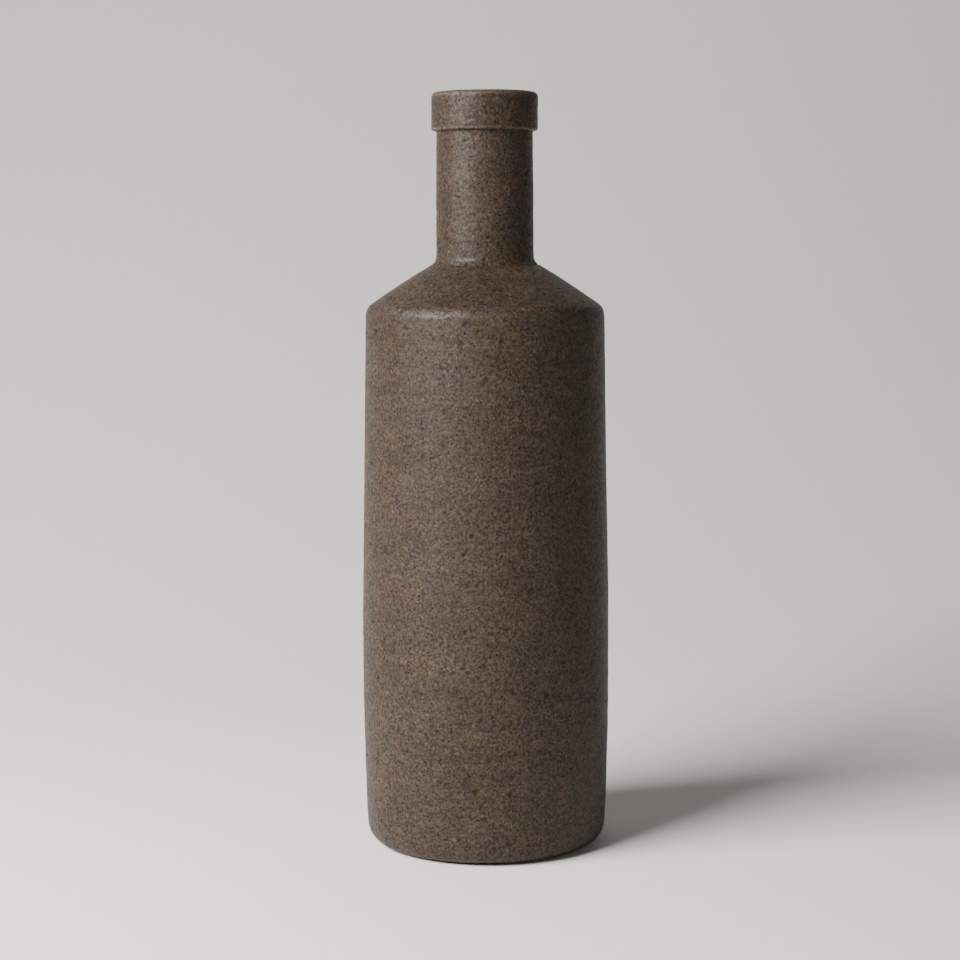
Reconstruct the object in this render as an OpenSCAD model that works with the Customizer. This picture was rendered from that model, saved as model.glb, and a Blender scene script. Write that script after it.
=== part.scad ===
// Sake bottle of unglazed stoneware: a tall, slightly barrelled body, a sloping shoulder with a
// soft edge, a narrow neck and a square mouth collar. It is built the way a coil-and-throw potter
// builds one: a base disc, three wall sections, a shoulder, a neck and a collar, each joined to
// the next on a flat seam, and a thin glaze poured inside to make the coarse clay hold liquid.
// The bottle stands on z = 0 and its axis is Z. All lengths are in millimetres.

/* [Body] */
// Height of the whole bottle
height = 250; // [242:1:275]
// Widest diameter, at the belly
body_d = 82.6; // [74:0.1:95]
// Height of the widest place
belly_z = 62; // [50:1:75]
// Radius of the long curve that passes through the belly
belly_curve_r = 1500; // [1200:50:2500]
// How far the straight upper wall leans in, in degrees
wall_lean = 0.97; // [0.5:0.01:1.5]

/* [Foot] */
// Radius of the rounded lower edge
foot_round = 6; // [3:0.5:6.5]
// Radius of the tighter curve just above the rounded edge
foot_curve_r = 50; // [40:5:120]
// Height at which that tighter curve runs into the belly's
foot_curve_z = 10; // [8:0.5:14]
// Diameter of the shallow recess turned under the base
recess_d = 54; // [40:1:58]
// Depth of that recess
recess_depth = 1.2; // [0.5:0.1:2]

/* [Shoulder] */
// Height at which the shoulder's edge starts to turn in
edge_z = 176.8; // [165:0.1:180]
// Radius of the shoulder's edge
edge_round = 5; // [2:0.5:8]
// Slope of the shoulder, in degrees from level
shoulder_slope = 33.1; // [25:0.1:40]
// How much steeper the swell makes the slope at its edge, and flatter at the neck, in degrees
shoulder_swell = 2.2; // [0.5:0.1:4]

/* [Neck] */
// Diameter of the neck just above the shoulder
neck_foot_d = 32.4; // [30:0.1:36]
// Diameter of the neck just under the collar
neck_top_d = 31.7; // [30:0.1:34]
// Radius of the hollow corner between shoulder and neck
neck_cove = 3; // [1.5:0.5:5]

/* [Mouth] */
// Diameter of the collar round the mouth
collar_d = 35; // [34:0.1:42]
// Height of the collar
collar_h = 12.6; // [8:0.1:18]
// Radius of the collar's top outer edge
collar_round = 1.6; // [0.5:0.1:2.5]
// Radius of the collar's lower outer edge
collar_under_round = 0.6; // [0.2:0.1:1]
// Radius of the lip's inner edge
lip_round = 1; // [0.5:0.1:2]
// Diameter of the glazed mouth, which takes a stopper
mouth_d = 20; // [17:0.5:22]

/* [Clay and glaze] */
// Thickness of the body wall
wall = 4.2; // [3.5:0.1:6]
// Thickness of the base
base_t = 7; // [6.6:0.1:9]
// Thickness of the shoulder
shoulder_t = 5; // [4:0.1:6]
// Thickness of the glaze inside
glaze_t = 0.4; // [0.2:0.1:0.8]
// Radius of the corner between the floor and the wall, inside
floor_cove = 6; // [3:0.5:10]
// Radius of the corner under the shoulder, inside
inner_edge_round = 3; // [1:0.5:5]
// Radius of the throat, where the inside of the shoulder turns up into the neck
throat_round = 2; // [1:0.5:2.5]

/* [Seams] */
// Height of the seam between the lower and the middle wall section
lower_seam_z = 58; // [40:1:75]
// Height of the seam between the middle and the upper wall section
upper_seam_z = 137.5; // [110:0.5:150]
// How far below the shoulder's edge the shoulder is joined to the wall
shoulder_seam_drop = 2.3; // [1:0.1:6]

/* [Hidden] */
$fn = 180;

clay_dark = "#4f433c";
clay_brown = "#5e5047";
clay_warm = "#685548";
glaze_brown = "#2c1d15";

// The longest step between two points on the belly's curve
wall_step = 10;

// Points on an arc about c, from angle a0 to angle a1
function arc(c, r, a0, a1, n = 6) =
    [for (i = [0:n]) let (a = a0 + (a1 - a0) * i / n) c + r * [cos(a), sin(a)]];

// Heights from z0 to z1 in even steps
function rise(z0, z1) =
    let (n = ceil(abs(z1 - z0) / wall_step)) [for (i = [0:n]) z0 + (z1 - z0) * i / n];

function reversed(points) = [for (i = [len(points) - 1:-1:0]) points[i]];

// Outside of the wall: a tight curve at the foot, the belly's long curve, then a straight lean
belly_r = body_d / 2;
lean_z = belly_z + belly_curve_r * tan(wall_lean);
function belly_at(z) = belly_r - pow(z - belly_z, 2) / (2 * belly_curve_r);

foot_slope = atan((belly_z - foot_curve_z) / belly_curve_r);
foot_c = [
    belly_at(foot_curve_z) - foot_curve_r * cos(foot_slope),
    foot_curve_z + foot_curve_r * sin(foot_slope)
];
function foot_at(z) = foot_c.x + sqrt(pow(foot_curve_r, 2) - pow(z - foot_c.y, 2));

function wall_at(z) =
    z < foot_curve_z ? foot_at(z)
    : z < lean_z ? belly_at(z)
    : belly_at(lean_z) - (z - lean_z) * tan(wall_lean);

function outside(z0, z1) = [for (z = rise(z0, z1)) [wall_at(z), z]];
function inside(z0, z1, d = 0) = [for (z = rise(z0, z1)) [wall_at(z) - wall - d, z]];

// The rounded lower edge touches the foot's curve from within and stands on z = 0
round_reach = foot_curve_r - foot_round;
round_c = [foot_c.x + sqrt(pow(round_reach, 2) - pow(foot_round - foot_c.y, 2)), foot_round];
round_end = atan2(round_c.y - foot_c.y, round_c.x - foot_c.x);
round_top = round_c.y + foot_round * sin(round_end);
// The gap left before the wall's first point above the rounded edge, so that no step is tiny
clear_step = 0.4;

// Shoulder outside: a round edge, then one shallow swell from the edge to the neck's hollow corner
edge_c = [wall_at(edge_z) - edge_round, edge_z];
edge_end = 90 - shoulder_slope - shoulder_swell;
swell_end = 90 - shoulder_slope + shoulder_swell;
swell_from = edge_c + edge_round * [cos(edge_end), sin(edge_end)];
cove_x = neck_foot_d / 2 + neck_cove;
swell_to_x = cove_x - neck_cove * cos(swell_end);
neck_seam_z = swell_from.y + (swell_from.x - swell_to_x) * tan(shoulder_slope);
cove_c = [cove_x, neck_seam_z + neck_cove * sin(swell_end)];
swell_r = norm([swell_from.x - swell_to_x, neck_seam_z - swell_from.y]) / 2 / sin(shoulder_swell);
swell_c = swell_from - swell_r * [cos(edge_end), sin(edge_end)];

// Inside of the shoulder: a straight slope, shoulder_t below the outside, between two round corners
seam_z = edge_z - shoulder_seam_drop;
collar_z = height - collar_h;
bore_r = mouth_d / 2 + glaze_t;
slope_normal = [sin(shoulder_slope), cos(shoulder_slope)];
slope_level = slope_normal * swell_from - shoulder_t;
inner_edge_x = wall_at(edge_z) - wall - inner_edge_round;
inner_edge_c = [
    inner_edge_x,
    (slope_level - inner_edge_round - slope_normal.x * inner_edge_x) / slope_normal.y
];
throat_x = bore_r + throat_round;
throat_c = [throat_x, (slope_level + throat_round - slope_normal.x * throat_x) / slope_normal.y];

// d is how far a surface lies inside the clay: 0 for the clay itself, glaze_t for the glaze
function inner_edge(d = 0) = arc(inner_edge_c, inner_edge_round - d, 0, 90 - shoulder_slope, 5);
function throat(d = 0) = arc(throat_c, throat_round + d, 270 - shoulder_slope, 180, 5);
floor_c = [wall_at(base_t + floor_cove) - wall - floor_cove, base_t + floor_cove];
function floor_corner(d = 0) = arc(floor_c, floor_cove - d, -90, 0);

// How far below the lip's inner edge the glaze ends
glaze_drop = 0.5;
glaze_top = height - lip_round - glaze_drop;

// The whole inside, from the middle of the floor up to the top of the glaze
function cavity(d) = concat(
    [[0, base_t + d]],
    floor_corner(d),
    inside(floor_c.y, lower_seam_z, d),
    inside(lower_seam_z, seam_z, d),
    inner_edge(d),
    throat(d),
    [[bore_r - d, glaze_top]]
);

// A piece turned on the potter's wheel from its outline in the plane of radius and height
module turned(outline) {
    rotate_extrude() polygon(outline);
}

// The thrown disc that closes the bottom, with its round lower edge and the recess under it
module base_disc() {
    color(clay_dark) turned(concat(
        [[0, recess_depth], [recess_d / 2 - recess_depth, recess_depth], [recess_d / 2, 0]],
        arc(round_c, foot_round, -90, round_end, 10),
        outside(round_top + clear_step, base_t),
        [[0, base_t]]
    ));
}

// One ring of the wall, from seam to seam
module wall_ring(z0, z1) {
    turned(concat(outside(z0, z1), inside(z1, z0)));
}

// The lowest ring, with the corner that a finger smooths where the wall meets the floor
module lower_body() {
    color(clay_brown) turned(concat(
        outside(base_t, lower_seam_z),
        inside(lower_seam_z, floor_c.y),
        reversed(floor_corner())
    ));
}

module middle_body() {
    color(clay_warm) wall_ring(lower_seam_z, upper_seam_z);
}

module upper_body() {
    color(clay_brown) wall_ring(upper_seam_z, seam_z);
}

// The shoulder, joined to the wall just below its round edge and open at the top for the neck
module shoulder_cone() {
    color(clay_warm) turned(concat(
        [[wall_at(seam_z), seam_z]],
        arc(edge_c, edge_round, 0, edge_end, 8),
        arc(swell_c, swell_r, edge_end, swell_end),
        [[bore_r, neck_seam_z]],
        reversed(throat()),
        reversed(inner_edge()),
        [[wall_at(seam_z) - wall, seam_z]]
    ));
}

// The neck, which widens at its foot into the hollow corner
module neck_tube() {
    color(clay_brown) turned(concat(
        [[bore_r, neck_seam_z]],
        arc(cove_c, neck_cove, 180 + swell_end, 180),
        [[neck_top_d / 2, collar_z], [bore_r, collar_z]]
    ));
}

// The square collar round the mouth
module mouth_collar() {
    color(clay_warm) turned(concat(
        [[bore_r, collar_z]],
        arc([collar_d / 2 - collar_under_round, collar_z + collar_under_round],
            collar_under_round, -90, 0, 4),
        arc([collar_d / 2 - collar_round, height - collar_round], collar_round, 0, 90),
        arc([bore_r + lip_round, height - lip_round], lip_round, 90, 180, 5)
    ));
}

// The glaze that was poured in and out again: one thin skin over the floor, the wall and the bore
module glaze_liner() {
    color(glaze_brown) turned(concat(cavity(0), reversed(cavity(glaze_t))));
}

base_disc();
lower_body();
middle_body();
upper_body();
shoulder_cone();
neck_tube();
mouth_collar();
glaze_liner();
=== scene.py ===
# %% [markdown]
# # A stoneware sake bottle
# The real bottle is coarse clay, dark brown from its iron, thrown in sections and fired with no glaze
# on the outside. Its beauty is in its skin: the grit in the clay, the tiny pits where grit was pulled
# out, and the faint rings that the potter's rib left. So this lesson takes the exact outline of each
# section from the engineering model, turns it again as a much finer mesh, and lets the clay's relief
# grow on that mesh. The camera, the paper sweep and the light come first.

# %% Load the bottle's frame
import math

import bmesh
import bpy
import numpy as np
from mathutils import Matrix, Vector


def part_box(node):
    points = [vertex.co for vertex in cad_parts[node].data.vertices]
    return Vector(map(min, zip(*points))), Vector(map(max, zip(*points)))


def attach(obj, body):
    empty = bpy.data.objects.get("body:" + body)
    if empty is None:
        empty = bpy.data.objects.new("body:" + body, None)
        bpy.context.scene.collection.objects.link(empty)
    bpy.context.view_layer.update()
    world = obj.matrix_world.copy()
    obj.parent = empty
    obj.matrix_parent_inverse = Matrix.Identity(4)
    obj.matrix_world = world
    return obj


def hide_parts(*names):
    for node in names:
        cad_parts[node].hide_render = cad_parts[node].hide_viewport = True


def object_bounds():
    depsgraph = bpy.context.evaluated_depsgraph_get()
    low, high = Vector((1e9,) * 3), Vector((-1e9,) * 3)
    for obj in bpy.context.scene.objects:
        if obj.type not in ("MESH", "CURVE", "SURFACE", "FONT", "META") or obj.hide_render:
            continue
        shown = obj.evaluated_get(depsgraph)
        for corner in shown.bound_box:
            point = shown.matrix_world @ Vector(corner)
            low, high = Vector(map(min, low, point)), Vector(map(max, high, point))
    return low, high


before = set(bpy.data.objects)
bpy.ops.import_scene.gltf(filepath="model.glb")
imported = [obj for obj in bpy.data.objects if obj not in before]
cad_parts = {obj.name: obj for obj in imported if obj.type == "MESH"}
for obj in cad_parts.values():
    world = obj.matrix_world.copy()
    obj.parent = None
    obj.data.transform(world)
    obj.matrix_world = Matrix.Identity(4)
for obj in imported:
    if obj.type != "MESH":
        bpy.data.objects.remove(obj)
cad_low, cad_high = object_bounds()
CLAY_PIECES = [
    "base_disc", "lower_body", "middle_body", "upper_body",
    "shoulder_cone", "neck_tube", "mouth_collar",
]
bottle_height = cad_high[2] - cad_low[2]
bottle_width = cad_high[0] - cad_low[0]
print("bottle", round(bottle_height * 1000, 1), "mm tall,", round(bottle_width * 1000, 1), "mm wide")

# %% [markdown]
# ## Camera
# A long lens, set back about three bottle heights and a little below the mouth, so that the sides
# stay nearly parallel and the foot shows as a shallow curve. It looks slightly down. The roll is the
# small lean of a hand-set tripod.

# %% Place the camera
MM = 0.001
SENSOR = 36.0
LENS = 84.2
CAMERA_PLACE = (-1.6 * MM, -746.6 * MM, 205.9 * MM)
LOOK_DOWN = 6.42
ROLL = 0.16

camera_data = bpy.data.cameras.new("bottle_camera")
camera_data.sensor_width = SENSOR
camera_data.lens = LENS
camera_data.clip_start = 0.05
camera_data.clip_end = 20.0
camera = bpy.data.objects.new("bottle_camera", camera_data)
bpy.context.scene.collection.objects.link(camera)
camera.location = CAMERA_PLACE
camera.rotation_mode = "XYZ"
camera.rotation_euler = (math.radians(90 - LOOK_DOWN), math.radians(ROLL), 0.0)
bpy.context.scene.camera = camera
print("camera", [round(v, 4) for v in camera.location], "m")

# %% [markdown]
# ## Colours
# Colours are chosen as sRGB hex values, as a paint chart gives them. The renderer works with light,
# which adds up linearly, so one function turns a hex value into linear red, green and blue.

# %% Turn sRGB hex into linear light
def linear(hex_colour):
    channels = [int(hex_colour[i:i + 2], 16) / 255 for i in (1, 3, 5)]
    return [c / 12.92 if c <= 0.04045 else ((c + 0.055) / 1.055) ** 2.4 for c in channels] + [1.0]


print("the middle grey #808080 sends back", round(linear("#808080")[0], 3), "of the light")

# %% [markdown]
# ## Adding nodes
# Every material below is a small network. One helper adds any node, sets its options and its socket
# values, and makes its links, so that each material reads as a list of what it is made of.

# %% One helper for every node
def add_node(tree, kind, options=None, values=None, links=None):
    node = tree.nodes.new(kind)
    for name, value in (options or {}).items():
        setattr(node, name, value)
    for socket, value in (values or {}).items():
        node.inputs[socket].default_value = value
    for socket, source in (links or {}).items():
        tree.links.new(source, node.inputs[socket])
    return node


def new_material(name):
    material = bpy.data.materials.new(name)
    material.use_nodes = True
    material.node_tree.nodes.clear()
    return material, material.node_tree


# %% [markdown]
# ## The paper sweep
# A product table has a sheet of matt paper that runs flat under the object and curves up behind it,
# so there is no horizon line. It is one strip of faces along a floor, a quarter circle and a wall.

# %% Build the sweep
SWEEP_HALF_WIDTH = 2.5
FLOOR_FRONT = -1.6
CURVE_START = 0.20
CURVE_RADIUS = 0.92
CURVE_STEPS = 32
WALL_TOP = 2.6


def sweep_line():
    line = [(FLOOR_FRONT, 0.0), (CURVE_START, 0.0)]
    for i in range(1, CURVE_STEPS + 1):
        turn = math.radians(90) * i / CURVE_STEPS
        line.append((CURVE_START + CURVE_RADIUS * math.sin(turn), CURVE_RADIUS * (1 - math.cos(turn))))
    return line + [(CURVE_START + CURVE_RADIUS, WALL_TOP)]


def paper_sweep():
    line = sweep_line()
    verts = [(side * SWEEP_HALF_WIDTH, y, z) for y, z in line for side in (-1, 1)]
    faces = [(2 * i, 2 * i + 1, 2 * i + 3, 2 * i + 2) for i in range(len(line) - 1)]
    mesh = bpy.data.meshes.new("paper_sweep")
    mesh.from_pydata(verts, [], faces)
    mesh.shade_smooth()
    sweep = bpy.data.objects.new("paper_sweep", mesh)
    bpy.context.scene.collection.objects.link(sweep)
    return sweep


sweep = paper_sweep()
paper, tree = new_material("matt_paper")
paper_shader = add_node(
    tree, "ShaderNodeBsdfPrincipled",
    values={"Base Color": linear("#e7e6e4"), "Roughness": 0.9, "Specular IOR Level": 0.2},
)
add_node(tree, "ShaderNodeOutputMaterial", links={"Surface": paper_shader.outputs["BSDF"]})
sweep.data.materials.append(paper)
print("sweep", len(sweep.data.polygons), "faces")

# %% [markdown]
# ## Light
# One large soft box hangs to the left and in front, higher than the mouth. It rounds the body from a
# lit left side to a dark right side, and throws one soft shadow back to the right. The rest of the
# light comes from the room: a white wall low on the right, and dim space elsewhere.

# %% Hang the soft box
KEY_PLACE = (-0.626, -0.455, 0.582)
KEY_TARGET = (0.0, 0.0, 0.11)
KEY_SIZE = (0.60, 0.43)
KEY_WATTS = 29.0


def soft_box(name, place, target, size, watts, colour):
    data = bpy.data.lights.new(name, "AREA")
    data.shape = "RECTANGLE"
    data.size, data.size_y = size
    data.energy = watts
    data.color = linear(colour)[:3]
    light = bpy.data.objects.new(name, data)
    bpy.context.scene.collection.objects.link(light)
    light.location = place
    way = [t - p for t, p in zip(target, place)]
    tilt = math.atan2(math.hypot(way[0], way[1]), -way[2])
    heading = math.atan2(way[1], way[0]) - math.radians(90)
    light.rotation_euler = (tilt, 0.0, heading)
    return light


key = soft_box("key_soft_box", KEY_PLACE, KEY_TARGET, KEY_SIZE, KEY_WATTS, "#fffdfa")
print("soft box", round(key.location.length, 2), "m from the bottle's foot,", KEY_WATTS, "W")

# %% Light the room from one side
WALL_WAY = (0.85, -0.35, -0.55)
DIM_SPACE = 0.04
WHITE_WALL = 0.80

world = bpy.data.worlds.new("pale_room")
bpy.context.scene.world = world
world.use_nodes = True
world.node_tree.nodes.clear()
# Only the wall on the right is white, so that the bottle's left edge stays dark
out_there = add_node(world.node_tree, "ShaderNodeTexCoord")
to_the_wall = add_node(
    world.node_tree, "ShaderNodeVectorMath", {"operation": "DOT_PRODUCT"}, {1: WALL_WAY},
    {0: out_there.outputs["Generated"]},
)
wall_light = add_node(
    world.node_tree, "ShaderNodeMapRange", {"interpolation_type": "SMOOTHSTEP"},
    {"From Min": 0.1, "From Max": 0.9, "To Min": DIM_SPACE, "To Max": WHITE_WALL},
    {"Value": to_the_wall.outputs["Value"]},
)
room = add_node(
    world.node_tree, "ShaderNodeBackground", {}, {"Color": linear("#f5f2ed")},
    {"Strength": wall_light.outputs[0]},
)
add_node(world.node_tree, "ShaderNodeOutputWorld", links={"Surface": room.outputs["Background"]})
print("the room's light goes from", DIM_SPACE, "to", WHITE_WALL)

# %% [markdown]
# ## The outline of each section
# A thrown pot is a solid of revolution, so half a cross-section says everything about its shape. Each
# CAD piece is cut with the plane y = 0, which leaves a ring of edges; the half with positive x is then
# walked in order, up the outside and back down the inside. From here on, shapes are in millimetres.

# %% Cut a piece open and walk round its section
WELD = 1e-6


def half_section(name):
    cut = bmesh.new()
    cut.from_mesh(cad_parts[name].data)
    bmesh.ops.remove_doubles(cut, verts=cut.verts, dist=WELD)
    for normal, both_sides in (((0, 1, 0), True), ((1, 0, 0), False)):
        bmesh.ops.bisect_plane(
            cut, geom=cut.verts[:] + cut.edges[:] + cut.faces[:], dist=WELD,
            plane_co=(0, 0, 0), plane_no=normal, clear_inner=True, clear_outer=both_sides,
        )
    on_axis = [v for v in cut.verts if v.co.x < WELD]
    at_bottom = [v for v in cut.verts if v.co.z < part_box(name)[0][2] + WELD]
    here = min(on_axis, key=lambda v: v.co.z) if on_axis else max(at_bottom, key=lambda v: v.co.x)
    path = []
    while here is not None:
        path.append(here)
        onward = [e.other_vert(here) for e in here.link_edges]
        here = max((v for v in onward if v not in path), key=lambda v: v.co.z, default=None)
    points = np.array([(v.co.x, v.co.z) for v in path]) / MM
    cut.free()
    return points


# %% Part the outside of each clay piece from its inside
TOUCH = 0.01


def split_section(name):
    points = half_section(name)
    radius, level = points.T
    if name == "mouth_collar":
        end = int(np.argmax(radius < radius.min() + TOUCH))
    else:
        end = int(np.argmax(level > level.max() - TOUCH))
    return points[:end + 1], points[end + 1:]


outsides, insides = {}, {}
for name in CLAY_PIECES:
    outsides[name], insides[name] = split_section(name)
    print(name, len(outsides[name]), "points outside,", len(insides[name]), "inside")

# %% [markdown]
# ## One skin from foot to lip
# The outsides are joined into one line that runs from the middle of the base to the inner edge of the
# lip. A potter's wet sponge softens every corner, so the line is smoothed by a third of a millimetre.
# Each piece later takes its own stretch of this line, so neighbours meet at their seams.

# %% Join, resample and soften the skin line
LINE_STEP = 0.05
SPONGE = 0.35

joined = [outsides[CLAY_PIECES[0]][:1]]
stretch_ends = {}
run = 0.0
for name in CLAY_PIECES:
    ahead = np.vstack([joined[-1][-1:], outsides[name]])
    steps = np.hypot(*np.diff(ahead, axis=0).T)
    run += steps.sum()
    stretch_ends[name] = run
    joined.append(ahead[1:][steps > TOUCH])
rough = np.vstack(joined)
along = np.concatenate([[0.0], np.cumsum(np.hypot(*np.diff(rough, axis=0).T))])
line_s = np.arange(0.0, along[-1], LINE_STEP)


def soften(values, width):
    reach = int(4 * width / LINE_STEP)
    bell = np.exp(-0.5 * (np.arange(-reach, reach + 1) * LINE_STEP / width) ** 2)
    return np.convolve(np.pad(values, reach, "reflect", reflect_type="odd"), bell / bell.sum(), "valid")


line_r = soften(np.interp(line_s, along, rough[:, 0]), SPONGE)
line_z = soften(np.interp(line_s, along, rough[:, 1]), SPONGE)
slope_r, slope_z = np.gradient(line_r, LINE_STEP), np.gradient(line_z, LINE_STEP)
line_turn = np.gradient(np.unwrap(np.arctan2(slope_z, slope_r)), LINE_STEP)
print("skin line", round(along[-1], 1), "mm from the base's centre to the lip")

# %% [markdown]
# ## Random clay
# Clay is never quite even. This noise gives each point in space a smooth random height: a table of
# random numbers sits on a cubic grid and is blended between the grid's corners. Because it works on
# points in space, it runs on over a seam from one piece to the next.

# %% Smooth noise at points in space
TABLE = 64
clay_rng = np.random.default_rng(7)
clay_table = clay_rng.uniform(-1.0, 1.0, (TABLE, TABLE, TABLE))


def lumps(points, size, offset):
    cell = points / size + offset
    corner = np.floor(cell).astype(int)
    part = cell - corner
    fade = part * part * (3 - 2 * part)
    total = np.zeros(points.shape[:-1])
    for dx in (0, 1):
        for dy in (0, 1):
            for dz in (0, 1):
                near = np.where((dx, dy, dz), fade, 1 - fade).prod(axis=-1)
                i, j, k = np.moveaxis((corner + (dx, dy, dz)) % TABLE, -1, 0)
                total += near * clay_table[i, j, k]
    return total


# %% [markdown]
# ## Pits
# Grog is fired clay ground to grit. As the wheel turns, the rib catches some grains and pulls them
# out, and each leaves a small hole, longer along the turn. The holes are strewn evenly over the skin,
# with an extra ring of them where the neck was pressed onto the shoulder.

# %% Strew the pits over the skin
# One pit for each square of the skin with this side, in mm
PIT_SPACING = 4.2
# A pit's usual radius in mm, how much the radii vary, and the smallest and the widest
PIT_RADIUS = 0.46
PIT_VARIETY = 0.33
PIT_LIMITS = (0.36, 0.95)
# How much longer a pit is along the turn, and how deep it is, as shares of its radius
PIT_STRETCH = (1.0, 1.7)
PIT_DEPTH = (0.18, 0.42)
# The extra ring of pits: how many, how far they spread in mm, and how much deeper they are
JOINT_PITS = 70
JOINT_SPREAD = 0.5
JOINT_DEEPER = 1.6

area = np.cumsum(line_r) * LINE_STEP * 2 * math.pi
pit_count = int(area[-1] / PIT_SPACING ** 2)
joint_s = stretch_ends["shoulder_cone"]
pit_s = np.interp(clay_rng.uniform(0, area[-1], pit_count), area, line_s)
pit_s = np.concatenate([pit_s, joint_s + clay_rng.normal(0, JOINT_SPREAD, JOINT_PITS)])
pit_angle = clay_rng.uniform(0, 2 * math.pi, len(pit_s))
pit_size = np.clip(PIT_RADIUS * np.exp(clay_rng.normal(0, PIT_VARIETY, len(pit_s))), *PIT_LIMITS)
pit_long = clay_rng.uniform(*PIT_STRETCH, len(pit_s))
pit_depth = pit_size * clay_rng.uniform(*PIT_DEPTH, len(pit_s))
pit_depth[-JOINT_PITS:] *= JOINT_DEEPER
print(len(pit_s), "pits, the widest", round(float(pit_size.max()) * 2, 1), "mm across")


# %% Press the pits into a grid of rows and columns
def pit_field(row_s, columns):
    field = np.zeros((len(row_s), columns))
    row_step = row_s[1] - row_s[0]
    reach = PIT_LIMITS[1]
    near = (pit_s > row_s[0] - reach) & (pit_s < row_s[-1] + reach)
    for s, angle, size, long, depth in zip(
        pit_s[near], pit_angle[near], pit_size[near], pit_long[near], pit_depth[near]
    ):
        radius = max(np.interp(s, line_s, line_r), 1.0)
        column_step = 2 * math.pi * radius / columns
        row, column = (s - row_s[0]) / row_step, angle / (2 * math.pi) * columns
        up, across = int(size / row_step) + 2, int(size * long / column_step) + 2
        if across * 2 > columns:
            continue
        rows = np.arange(max(int(row) - up, 0), min(int(row) + up + 1, len(row_s)))
        cols = np.arange(int(column) - across, int(column) + across + 1)
        dy = (rows[:, None] - row) * row_step / size
        dx = (cols[None, :] - column) * column_step / (size * long)
        bowl = np.clip(1 - dx * dx - dy * dy, 0, None)
        patch = np.ix_(rows, cols % columns)
        field[patch] = np.maximum(field[patch], depth * bowl)
    return field


# %% [markdown]
# ## Relief
# The skin's height is the sum of what made it: the slow wander of a hand-thrown wall, the rings left
# by fingers and rib (noise that is squeezed flat, so it runs round the pot), the grit that stands
# proud, and the pits. Where the neck was pressed onto the shoulder there is a shallow groove, and a
# wooden knife has trimmed a small undercut above the standing ring, which draws a dark line under the
# pot. The lip is wiped with a wet cloth, so the relief fades out inside the mouth.

# %% Choose the layers of the relief
# Each layer has its height and the size of its lumps, in mm, and its own place in the noise
WANDER = [(0.10, 33.0, 0), (0.05, 12.0, 5)]
RINGS = [(0.035, 5.5, 11), (0.016, 1.7, 17)]
GRIT = [(0.030, 2.6, 23), (0.040, 1.15, 31)]
SQUEEZED_FLAT = (0.10, 0.10, 1.0)

# The groove between shoulder and neck, and the undercut at the foot: depth, half width and lumps
GROOVE = 0.13
GROOVE_WIDTH = 0.45
GROOVE_LUMPS = [(0.10, 2.4, 47)]
FOOT_CUT = 0.6
CUT_WIDTH = 2.0
CUT_LUMPS = [(0.15, 4.0, 53)]

# How far from the end of the skin line the wet cloth reached
WIPED = 1.5

ring_end = line_s[line_z < TOUCH].max()
foot_s = ring_end + CUT_WIDTH / 2
print("the standing ring ends", round(float(np.interp(ring_end, line_s, line_r)), 1), "mm from the axis")


# %% Add up the relief of one grid
def layered(points, layers):
    return sum(high * lumps(points, size, offset) for high, size, offset in layers)


def hollow_round(row_s, middle, width):
    """1 along a ring round the pot, fading to 0 on both sides of it."""
    return np.exp(-(((row_s - middle) / width) ** 2))[:, None]


def relief(points, row_s, columns):
    height_map = layered(points, WANDER) + layered(points * SQUEEZED_FLAT, RINGS) + layered(points, GRIT)
    pressed = GROOVE + layered(points, GROOVE_LUMPS)
    height_map -= hollow_round(row_s, joint_s, GROOVE_WIDTH) * pressed
    trimmed = FOOT_CUT * (1 + layered(points, CUT_LUMPS))
    height_map -= hollow_round(row_s, foot_s, CUT_WIDTH) * trimmed
    pits = pit_field(row_s, columns)
    wiped = np.clip((line_s[-1] - row_s) / WIPED, 0, 1)[:, None]
    return (height_map - pits) * wiped, pits


# %% [markdown]
# ## Turning a piece
# A piece is a grid: rows step along its outline and columns step round the axis, half a millimetre
# apart, which is finer than most of the grit. The outside rows take the relief. The rows of the seams
# and the inside follow, then the grid closes on itself, so that every piece is a watertight solid.

# %% Turn rows of points into a watertight mesh
def turned_mesh(name, rings, sharp_rows=()):
    """rings: rows of points, in mm. A row on the axis becomes one point. The last row joins the first,
    unless both are on the axis."""
    starts, points, columns = [], [], max(len(r) for r in rings)
    for ring in rings:
        on_axis = np.hypot(ring[:, 0], ring[:, 1]).max() < TOUCH
        starts.append((sum(len(p) for p in points), on_axis))
        points.append(ring[:1] if on_axis else ring)
    here = np.arange(columns)
    there = (here + 1) % columns
    quads, fans = [], []
    for k in range(len(rings)):
        (low, low_pole), (high, high_pole) = starts[k], starts[(k + 1) % len(rings)]
        if low_pole and high_pole:
            continue
        if low_pole:
            fans.append(np.stack([np.full(columns, low), high + there, high + here], axis=1))
        elif high_pole:
            fans.append(np.stack([low + here, low + there, np.full(columns, high)], axis=1))
        else:
            quads.append(np.stack([low + here, low + there, high + there, high + here], axis=1))
    faces = np.vstack(quads).tolist() + [f for fan in fans for f in fan.tolist()]
    mesh = bpy.data.meshes.new(name)
    mesh.from_pydata((np.vstack(points) * MM).tolist(), [], faces)
    mesh.shade_smooth()
    lines = np.empty(len(mesh.edges) * 2, dtype=int)
    mesh.edges.foreach_get("vertices", lines)
    row_of = np.repeat(np.arange(len(rings)), [len(p) for p in points])
    row_a, row_b = row_of[lines[0::2]], row_of[lines[1::2]]
    is_sharp = (row_a == row_b) & np.isin(row_a, list(sharp_rows))
    mark = mesh.attributes.new("sharp_edge", "BOOLEAN", "EDGE")
    mark.data.foreach_set("value", is_sharp)
    return mesh


def ring_points(radius, level, columns):
    angle = np.arange(columns) * 2 * math.pi / columns
    return np.stack([radius * np.cos(angle), radius * np.sin(angle), np.full(columns, level)], axis=1)


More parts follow.
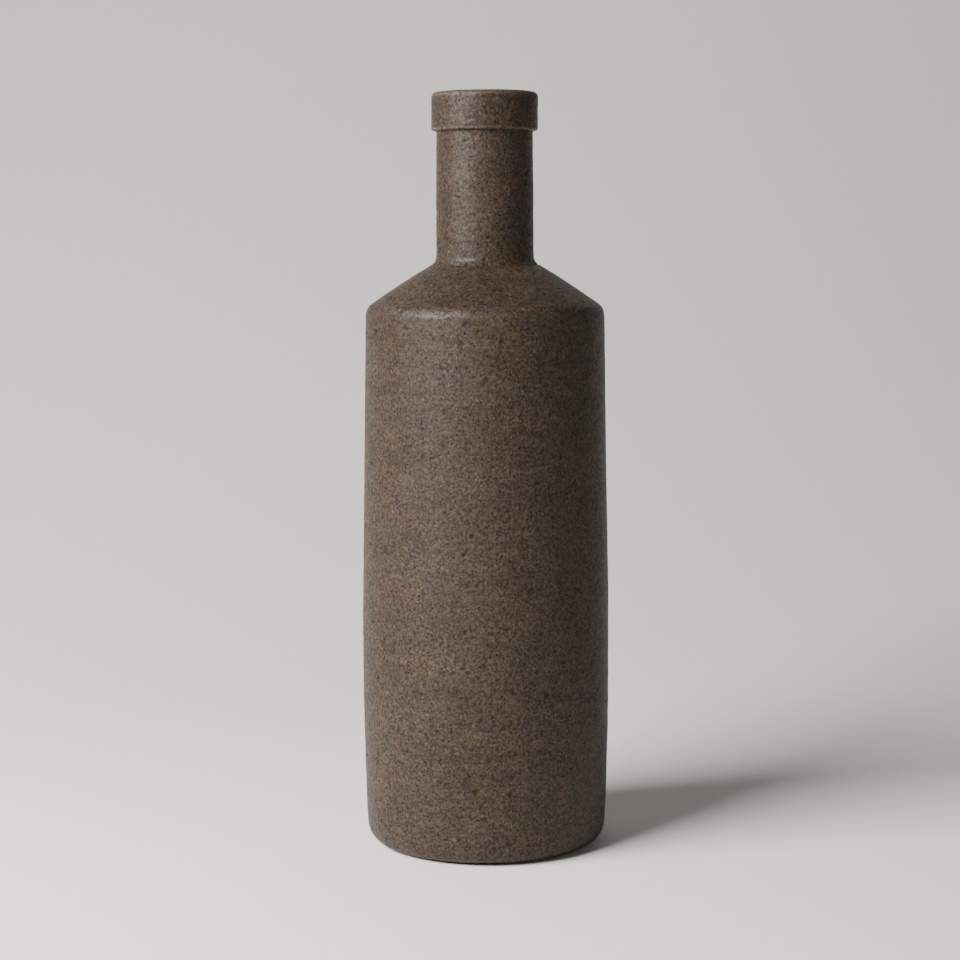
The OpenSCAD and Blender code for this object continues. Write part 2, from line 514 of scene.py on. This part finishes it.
# %% Raise the relief on one stretch of the skin
def skin_grid(row_s, columns):
    radius, level = np.interp(row_s, line_s, line_r), np.interp(row_s, line_s, line_z)
    lean_r, lean_z = np.interp(row_s, line_s, slope_r), np.interp(row_s, line_s, slope_z)
    smooth = np.stack([ring_points(r, z, columns) for r, z in zip(radius, level)])
    outward = np.stack([ring_points(z, -r, columns) for r, z in zip(lean_r, lean_z)])
    height_map, pits = relief(smooth, row_s, columns)
    skin = smooth + outward * height_map[..., None]
    skin[..., 2] = np.maximum(skin[..., 2], 0.0)
    return skin, pits


def store(mesh, attribute, values, skipped):
    """One value for each point of the skin. Skipped rows and the points inside the pot keep zero."""
    flat = values[skipped:].ravel()
    full = np.zeros(len(mesh.vertices))
    full[skipped:skipped + len(flat)] = flat
    mesh.attributes.new(attribute, "FLOAT", "POINT").data.foreach_set("value", full)


# %% Turn the clay pieces
BODY_STEP = 0.5
BODY_COLUMNS = 528
ROW_STEP = {"neck_tube": 0.4, "mouth_collar": 0.3}
COLUMNS = {"neck_tube": 264, "mouth_collar": 308}
# The depth in mm at which the painted shade in a pit is fully dark
PIT_SHADE_DEPTH = 0.3
# How sharply the outline turns where edges begin to be rubbed, and how much more rubs them fully
RUBBED_FROM = 0.15
RUBBED_MORE = 0.4


def clay_piece(name, start_s, end_s):
    columns = COLUMNS.get(name, BODY_COLUMNS)
    count = int(round((end_s - start_s) / ROW_STEP.get(name, BODY_STEP))) + 1
    row_s = np.linspace(start_s, end_s, count)
    skin, pits = skin_grid(row_s, columns)
    rings = list(skin) + [ring_points(r, z, columns) for r, z in insides[name]]
    mesh = turned_mesh(name + "_clay", rings, sharp_rows=(0, *range(count - 1, len(rings))))
    turn = np.interp(row_s, line_s, line_turn)
    worn = np.repeat(np.clip((turn - RUBBED_FROM) / RUBBED_MORE, 0, 1)[:, None], columns, axis=1)
    # The base begins with one point on the axis, which has no pit
    middle_points = 1 if start_s == 0 else 0
    store(mesh, "pit", pits / PIT_SHADE_DEPTH, middle_points)
    store(mesh, "worn", worn, middle_points)
    piece = bpy.data.objects.new(name + "_clay", mesh)
    bpy.context.scene.collection.objects.link(piece)
    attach(piece, "root")
    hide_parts(name)
    return piece


clay = {}
start_s = 0.0
for name in CLAY_PIECES:
    clay[name] = clay_piece(name, start_s, stretch_ends[name])
    start_s = stretch_ends[name]
    print(clay[name].name, len(clay[name].data.polygons), "faces")

# %% [markdown]
# ## The glaze inside
# Coarse clay would weep, so the potter fills the pot with glaze, pours it out at once, and a skin
# under half a millimetre thick stays behind. It is one skin; here it is made as three bands, only so
# that no piece is much larger than the others when its surface is baked. Its top edge melts away.

# %% Part the glaze's two sides
glaze_line = half_section("glaze_liner")
glaze_low, glaze_high = glaze_line[:, 1].min(), glaze_line[:, 1].max()
glaze_top_at = int(np.argmax(glaze_line[:, 1] > glaze_high - TOUCH))
clay_side, pot_side = glaze_line[:glaze_top_at + 1], glaze_line[:glaze_top_at:-1]
glaze_thickness = clay_side[-1, 0] - pot_side[-1, 0]


def stretch_between(line, low, high, step):
    """Even points along a side, between two levels. A stretch that holds the floor starts at the axis."""
    along_line = np.concatenate([[0.0], np.cumsum(np.hypot(*np.diff(line, axis=0).T))])
    ends = [np.interp(level, np.maximum.accumulate(line[:, 1]), along_line) for level in (low, high)]
    if low <= line[0, 1] + 1:
        ends[0] = 0.0
    s = np.linspace(*ends, max(int((ends[1] - ends[0]) / step), 2))
    return np.stack([np.interp(s, along_line, line[:, 0]), np.interp(s, along_line, line[:, 1])], axis=1)


print("glaze", round(float(glaze_thickness), 2), "mm thick, up to", round(float(glaze_high), 1), "mm")

# %% Turn the three bands of glaze
GLAZE_COLUMNS = 256
GLAZE_BANDS = ["glaze_floor", "glaze_wall", "glaze_throat"]
CLAY_SIDE_STEP = 8.0
POT_SIDE_STEP = 1.2
GLAZE_LUMPS = [(0.05, 9.0, 41)]
# The last millimetre under the lip, over which the glaze melts to a tenth of its thickness
BEAD = 0.8
MELTS_AWAY = 0.9


def pot_side_ring(r, z):
    melt = np.clip(1 - (glaze_high - z) / BEAD, 0, 1)
    ring = ring_points(r + glaze_thickness * MELTS_AWAY * melt ** 2, z, GLAZE_COLUMNS)
    if r > TOUCH:
        pooled = layered(ring, GLAZE_LUMPS)[:, None] * (1 - melt)
        ring[:, :2] -= ring[:, :2] / r * pooled
    return ring


bands = {}
for k, name in enumerate(GLAZE_BANDS):
    low, high = (glaze_low + (glaze_high - glaze_low) * n / len(GLAZE_BANDS) for n in (k, k + 1))
    clay_line = stretch_between(clay_side, low, high, CLAY_SIDE_STEP)
    pot_line = stretch_between(pot_side, low, high, POT_SIDE_STEP)[::-1]
    rings = [ring_points(r, z, GLAZE_COLUMNS) for r, z in clay_line]
    rings += [pot_side_ring(r, z) for r, z in pot_line]
    behind = len(clay_line)
    ends = (0, behind - 1, behind, len(rings) - 1) if k else (behind - 1, behind)
    bands[name] = bpy.data.objects.new(name, turned_mesh(name, rings, sharp_rows=ends))
    bpy.context.scene.collection.objects.link(bands[name])
    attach(bands[name], "root")
    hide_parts("glaze_liner")
    print(name, round(low, 1), "to", round(high, 1), "mm,", len(bands[name].data.polygons), "faces")

# %% [markdown]
# ## Iron stoneware, unglazed
# The body is a coarse, grogged stoneware: iron turns it dark brown, and the kiln's air shifts it to
# rust or olive, mauve or ochre, as flame and smoke passed over it. The grog melts a little and gives
# the skin a dull sheen, between matt and satin. Each cause has a noise of its own, at its real size.
# The noises that the wheel made are squeezed flat, so that they run round the pot.

# %% The noises in the clay
stoneware, tree = new_material("iron_stoneware")
place = add_node(tree, "ShaderNodeTexCoord")
in_mm = add_node(
    tree, "ShaderNodeVectorMath", {"operation": "SCALE"}, {"Scale": 1000.0}, {0: place.outputs["Object"]},
).outputs[0]
# The wheel draws its marks out to about fourteen times their height
DRAWN_OUT = (0.07, 0.07, 1.0)
round_the_pot = add_node(
    tree, "ShaderNodeVectorMath", {"operation": "MULTIPLY"}, {1: DRAWN_OUT}, {0: in_mm},
).outputs[0]
# Each noise has the points it works on, its size in mm, its detail and its roughness. Sand is finer
# than the grit's 0.8 mm, but would not show, so it is drawn as the grit's finer detail.
CLAY_NOISES = {
    "flame": (in_mm, 7.0, 3.0, 0.6),
    "smoke": (in_mm, 8.0, 3.0, 0.6),
    "ash": (in_mm, 11.0, 3.0, 0.55),
    "rib": (round_the_pot, 3.2, 3.0, 0.6),
    "drag": (round_the_pot, 0.75, 1.0, 0.5),
    "grit": (in_mm, 0.80, 1.6, 0.62),
}
noises = {}
for seed, (name, (vector, size, detail, roughness)) in enumerate(CLAY_NOISES.items()):
    noises[name] = add_node(
        tree, "ShaderNodeTexNoise", {"noise_dimensions": "4D"},
        {"W": 3.0 * seed, "Scale": 1 / size, "Detail": detail, "Roughness": roughness},
        {"Vector": vector},
    ).outputs["Fac"]
print(len(noises), "noises:", ", ".join(noises))

# %% [markdown]
# ## Grains
# Ground grit is never round, so the points are first pushed about by up to half a millimetre. Then
# each cell of a Voronoi pattern draws a lot: some cells hold one grain, of a size that the lot
# decides, and the rest are empty.

# %% Push the points about
PUSH = 0.9
push = add_node(
    tree, "ShaderNodeTexNoise", {}, {"Scale": 1 / 0.8, "Detail": 1.0}, {"Vector": in_mm},
).outputs["Color"]
crooked = add_node(
    tree, "ShaderNodeVectorMath", {"operation": "MULTIPLY_ADD"}, {1: (PUSH, PUSH, PUSH)},
    {0: push, 2: in_mm},
).outputs[0]


# %% Pale grog, white grit, and pits whose darkness is painted shade
# How wide a grain's soft edge is, as a share of its radius
GRAIN_EDGE = 0.35


def grains(size, seed, share, radius):
    """Cells are about size mm wide, share of them hold a grain, and radius is counted in cells."""
    shifted = add_node(
        tree, "ShaderNodeVectorMath", {"operation": "ADD"}, {1: (seed, seed * 2, seed * 3)}, {0: crooked},
    ).outputs[0]
    cells = add_node(tree, "ShaderNodeTexVoronoi", {}, {"Scale": 1 / size}, {"Vector": shifted})
    lot = add_node(tree, "ShaderNodeSeparateColor", links={0: cells.outputs["Color"]}).outputs[0]
    holds = add_node(tree, "ShaderNodeMath", {"operation": "LESS_THAN"}, {1: share}, {0: lot})
    reach = add_node(
        tree, "ShaderNodeMath", {"operation": "MULTIPLY_ADD"}, {1: radius / share / 2, 2: radius / 2},
        {0: lot},
    )
    width = add_node(
        tree, "ShaderNodeMath", {"operation": "MULTIPLY"}, {},
        {0: holds.outputs[0], 1: reach.outputs[0]},
    )
    inside = add_node(
        tree, "ShaderNodeMath", {"operation": "SUBTRACT"}, {},
        {0: width.outputs[0], 1: cells.outputs["Distance"]},
    )
    return add_node(
        tree, "ShaderNodeMath", {"operation": "DIVIDE", "use_clamp": True}, {1: radius * GRAIN_EDGE},
        {0: inside.outputs[0]},
    ).outputs[0]


pale_grog = grains(1.3, 4.0, 0.5, 0.34)
white_grit = grains(1.3, 14.0, 0.22, 0.28)
# Pits: their bump is relief, and their near-black colour is painted shade inside the hole
pits_with_painted_shade = grains(1.4, 9.0, 0.5, 0.36)
print("three kinds of grain,", len(tree.nodes), "nodes so far")

# %% [markdown]
# ## The clay's colours
# The kiln's colours come first: a mix of olive and rust, then a thin wash of ochre or mauve, each by
# its own noise, so that they never go together. The other noises only make it lighter or darker. The
# grains, the painted shade in the pits and the rubbed edges are painted over that, and are broken up by
# the grit.

# %% Mix the kiln's colours
# Olive to rust, times ochre to mauve
KILN = {"flame": ("#342d25", "#3a2b25"), "smoke": ("#ffffde", "#ededff")}
tints = []
for name, (low_colour, high_colour) in KILN.items():
    drift = add_node(
        tree, "ShaderNodeMapRange", {}, {"From Min": 0.22, "From Max": 0.78}, {"Value": noises[name]},
    )
    tints.append(add_node(
        tree, "ShaderNodeMix", {"data_type": "RGBA"}, {6: linear(low_colour), 7: linear(high_colour)},
        {0: drift.outputs[0]},
    ).outputs[2])
colour = add_node(
    tree, "ShaderNodeVectorMath", {"operation": "MULTIPLY"}, {}, {0: tints[0], 1: tints[1]},
).outputs[0]

# %% Make the clay lighter and darker
# Where each noise is low and where it is high, the colour is multiplied by this much
BRIGHTNESS = {"ash": (0.85, 1.15), "rib": (0.87, 1.13), "drag": (0.90, 1.10), "grit": (0.24, 1.82)}
for name, (low, high) in BRIGHTNESS.items():
    brightness = add_node(
        tree, "ShaderNodeMapRange", {},
        {"From Min": 0.3, "From Max": 0.7, "To Min": low, "To Max": high}, {"Value": noises[name]},
    ).outputs[0]
    colour = add_node(
        tree, "ShaderNodeVectorMath", {"operation": "SCALE"}, {}, {0: colour, "Scale": brightness},
    ).outputs[0]

# %% Darken the clay towards the mouth: painted shade, as if less light fell on the upper bottle
# Painted shade: the colour is scaled by this at the foot and by this at the mouth
FOOT_BRIGHTNESS = 1.05
MOUTH_BRIGHTNESS = 0.85
level = add_node(tree, "ShaderNodeSeparateXYZ", links={0: in_mm}).outputs["Z"]
painted_shade_to_mouth = add_node(
    tree, "ShaderNodeMapRange", {},
    {"From Max": bottle_height / MM, "To Min": FOOT_BRIGHTNESS, "To Max": MOUTH_BRIGHTNESS},
    {"Value": level},
).outputs[0]
colour = add_node(
    tree, "ShaderNodeVectorMath", {"operation": "SCALE"}, {}, {0: colour, "Scale": painted_shade_to_mouth},
).outputs[0]

# %% Lay the grains, the pits' painted shade and the rubbed edges over it
# The pit attribute masks painted shade in the mesh pits, and worn masks the rubbed edges
broken = {}
for name in ("pit", "worn"):
    stored = add_node(tree, "ShaderNodeAttribute", {"attribute_name": name})
    broken[name] = add_node(
        tree, "ShaderNodeMath", {"operation": "MULTIPLY"}, {},
        {0: stored.outputs["Fac"], 1: noises["grit"]},
    ).outputs[0]
# The near-black #120d0a layers are painted shade inside the shader pits and the mesh pits
LAYERS = (
    (pale_grog, "#675042", 0.30), (white_grit, "#8c7a68", 0.22), (pits_with_painted_shade, "#120d0a", 0.75),
    (broken["pit"], "#120d0a", 1.5), (broken["worn"], "#7c6a5c", 0.3),
)
for mask, shade, amount in LAYERS:
    share = add_node(
        tree, "ShaderNodeMath", {"operation": "MULTIPLY", "use_clamp": True}, {1: amount}, {0: mask},
    )
    colour = add_node(
        tree, "ShaderNodeMix", {"data_type": "RGBA"}, {7: linear(shade)},
        {0: share.outputs[0], 6: colour},
    ).outputs[2]
print(len(LAYERS), "layers over the clay,", len(tree.nodes), "nodes so far")

# %% [markdown]
# ## The clay's fine relief and sheen
# Grit that is too fine for the mesh goes into a bump map, in millimetres. Where a grain stands up it
# was rubbed by the rib and melted a little, so it is also the smoother part. Fired clay has an IOR
# near that of glass, but its open skin scatters most of the reflection, so the specular level is low.

# %% Build the shader and put it on every clay piece
GRIT_RISE = 0.14
GROG_RISE = 0.03
PIT_DROP = 0.15
height_mm = add_node(
    tree, "ShaderNodeMath", {"operation": "MULTIPLY"}, {1: GRIT_RISE}, {0: noises["grit"]},
).outputs[0]
for mask, rise in ((pale_grog, GROG_RISE), (pits_with_painted_shade, -PIT_DROP)):
    height_mm = add_node(
        tree, "ShaderNodeMath", {"operation": "MULTIPLY_ADD"}, {1: rise}, {0: mask, 2: height_mm},
    ).outputs[0]
bump = add_node(tree, "ShaderNodeBump", {}, {"Strength": 1.0, "Distance": MM}, {"Height": height_mm})
sheen_spread = add_node(
    tree, "ShaderNodeMapRange", {},
    {"From Min": 0.3, "From Max": 0.7, "To Min": 0.60, "To Max": 0.42}, {"Value": noises["grit"]},
).outputs[0]
clay_shader = add_node(
    tree, "ShaderNodeBsdfPrincipled", {}, {"IOR": 1.5, "Specular IOR Level": 0.2},
    {"Base Color": colour, "Roughness": sheen_spread, "Normal": bump.outputs[0]},
)
add_node(tree, "ShaderNodeOutputMaterial", links={"Surface": clay_shader.outputs["BSDF"]})
for piece in clay.values():
    piece.data.materials.append(stoneware)
print("iron_stoneware", len(tree.nodes), "nodes on", len(clay), "pieces")

# %% [markdown]
# ## Iron glaze
# A thin brown-black glaze, coloured by the same iron, glossy because it melted to glass. It breaks to
# rust where it ran thin. It ran downwards, so its noise is drawn out to four times its width.

# %% Mix the glaze
RUN_LONG = 4.0
GLAZE_PATCH = 4.0
glaze, tree = new_material("iron_glaze")
place = add_node(tree, "ShaderNodeTexCoord")
runs = add_node(
    tree, "ShaderNodeVectorMath", {"operation": "MULTIPLY"}, {1: (1000.0, 1000.0, 1000.0 / RUN_LONG)},
    {0: place.outputs["Object"]},
).outputs[0]
breaks = add_node(
    tree, "ShaderNodeTexNoise", {}, {"Scale": 1 / GLAZE_PATCH, "Detail": 4.0, "Roughness": 0.6},
    {"Vector": runs},
)
tones = add_node(tree, "ShaderNodeValToRGB", links={"Fac": breaks.outputs["Fac"]})
for stop, position, tone in zip(tones.color_ramp.elements, (0.35, 0.7), ("#1d120d", "#4a2a18")):
    stop.position = position
    stop.color = linear(tone)
glaze_bump = add_node(
    tree, "ShaderNodeBump", {}, {"Strength": 0.4, "Distance": 0.1 * MM},
    {"Height": breaks.outputs["Fac"]},
)
glaze_shader = add_node(
    tree, "ShaderNodeBsdfPrincipled", {}, {"Roughness": 0.14, "IOR": 1.52},
    {"Base Color": tones.outputs["Color"], "Normal": glaze_bump.outputs[0]},
)
add_node(tree, "ShaderNodeOutputMaterial", links={"Surface": glaze_shader.outputs["BSDF"]})
for band in bands.values():
    band.data.materials.append(glaze)
print("iron_glaze", len(tree.nodes), "nodes on", len(bands), "bands")
